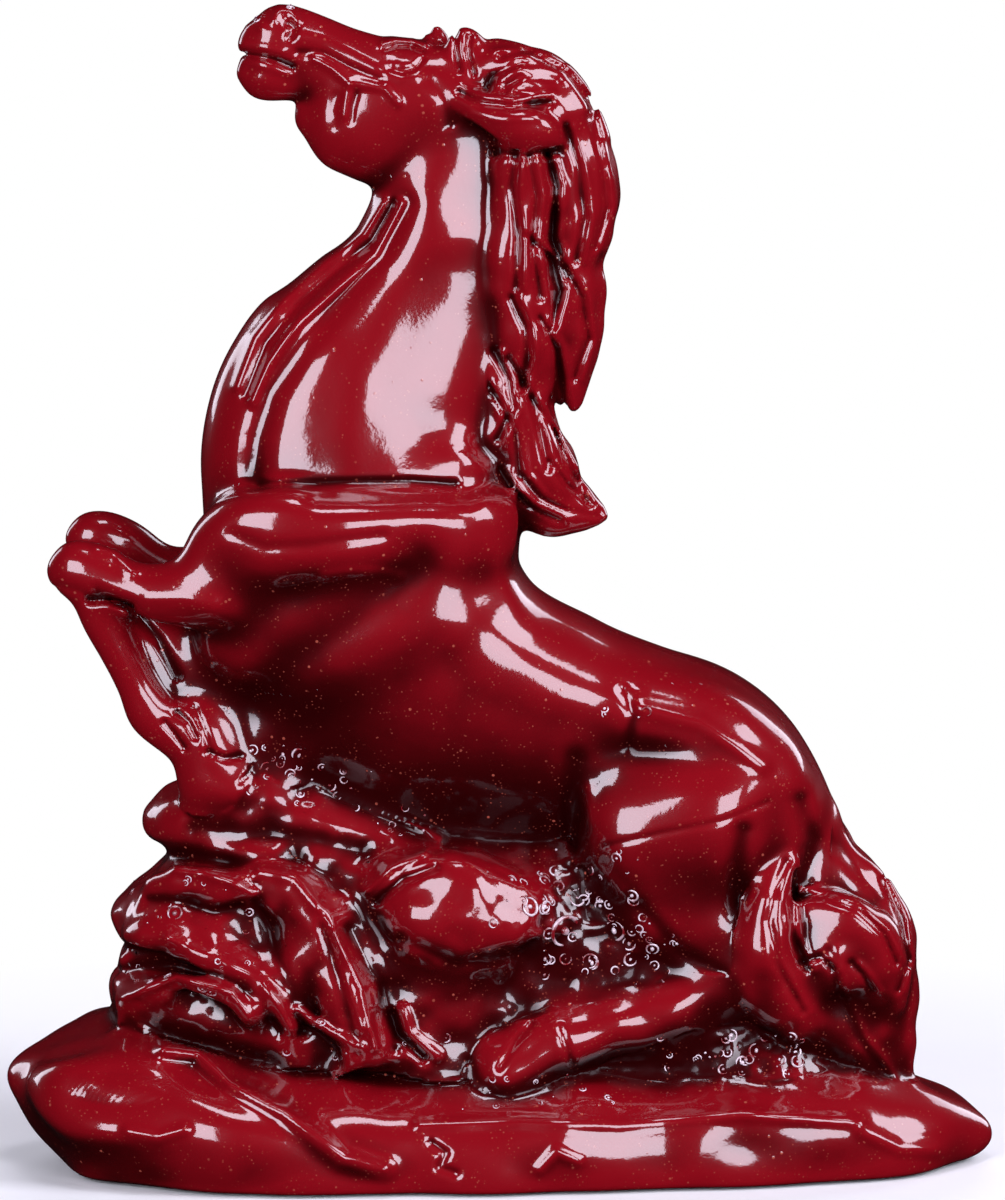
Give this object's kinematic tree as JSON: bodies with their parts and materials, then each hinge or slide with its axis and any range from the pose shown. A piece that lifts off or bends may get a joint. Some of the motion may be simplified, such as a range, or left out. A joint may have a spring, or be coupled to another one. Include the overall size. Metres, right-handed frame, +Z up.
{
  "type": "horse figurine",
  "caption": "Glossy red glazed ceramic horse rearing from a rocky plinth, a free-standing shelf ornament.",
  "frame": {"origin": "centre of the footprint box, on the table the felt pads rest on", "axes": "+X towards the horse's tail, +Y away from the near side that faces the viewer, +Z up"},
  "size_m": [0.1532, 0.0628, 0.1799],
  "materials": {
    "red_glaze": "deep red crackle-free gloss glaze with fine pale specks",
    "bisque": "unglazed fired clay, matt",
    "felt": "short dark felt"
  },
  "bodies": {
    "root": {"base_plate": "bisque", "felt_pads": "felt", "base_shell": "red_glaze", "rock_core": "red_glaze", "front_rock": "red_glaze", "upper_scroll_rock": "red_glaze", "lower_scroll_rock": "red_glaze", "near_ridges": "red_glaze", "far_ridges": "red_glaze", "near_boulder": "red_glaze", "far_boulder": "red_glaze", "rear_mound": "red_glaze", "barrel": "red_glaze", "neck": "red_glaze", "head": "red_glaze", "near_ear": "red_glaze", "far_ear": "red_glaze", "forelock": "red_glaze", "mane_crest": "red_glaze", "near_mane_lock": "red_glaze", "far_mane_lock": "red_glaze", "lower_mane_lock": "red_glaze", "near_foreleg": "red_glaze", "far_foreleg": "red_glaze", "foreleg_web": "red_glaze", "near_haunch": "red_glaze", "far_haunch": "red_glaze", "near_hind_cannon": "red_glaze", "far_hind_cannon": "red_glaze", "tail": "red_glaze", "near_tail_lock": "red_glaze"}
  },
  "joints": []
}
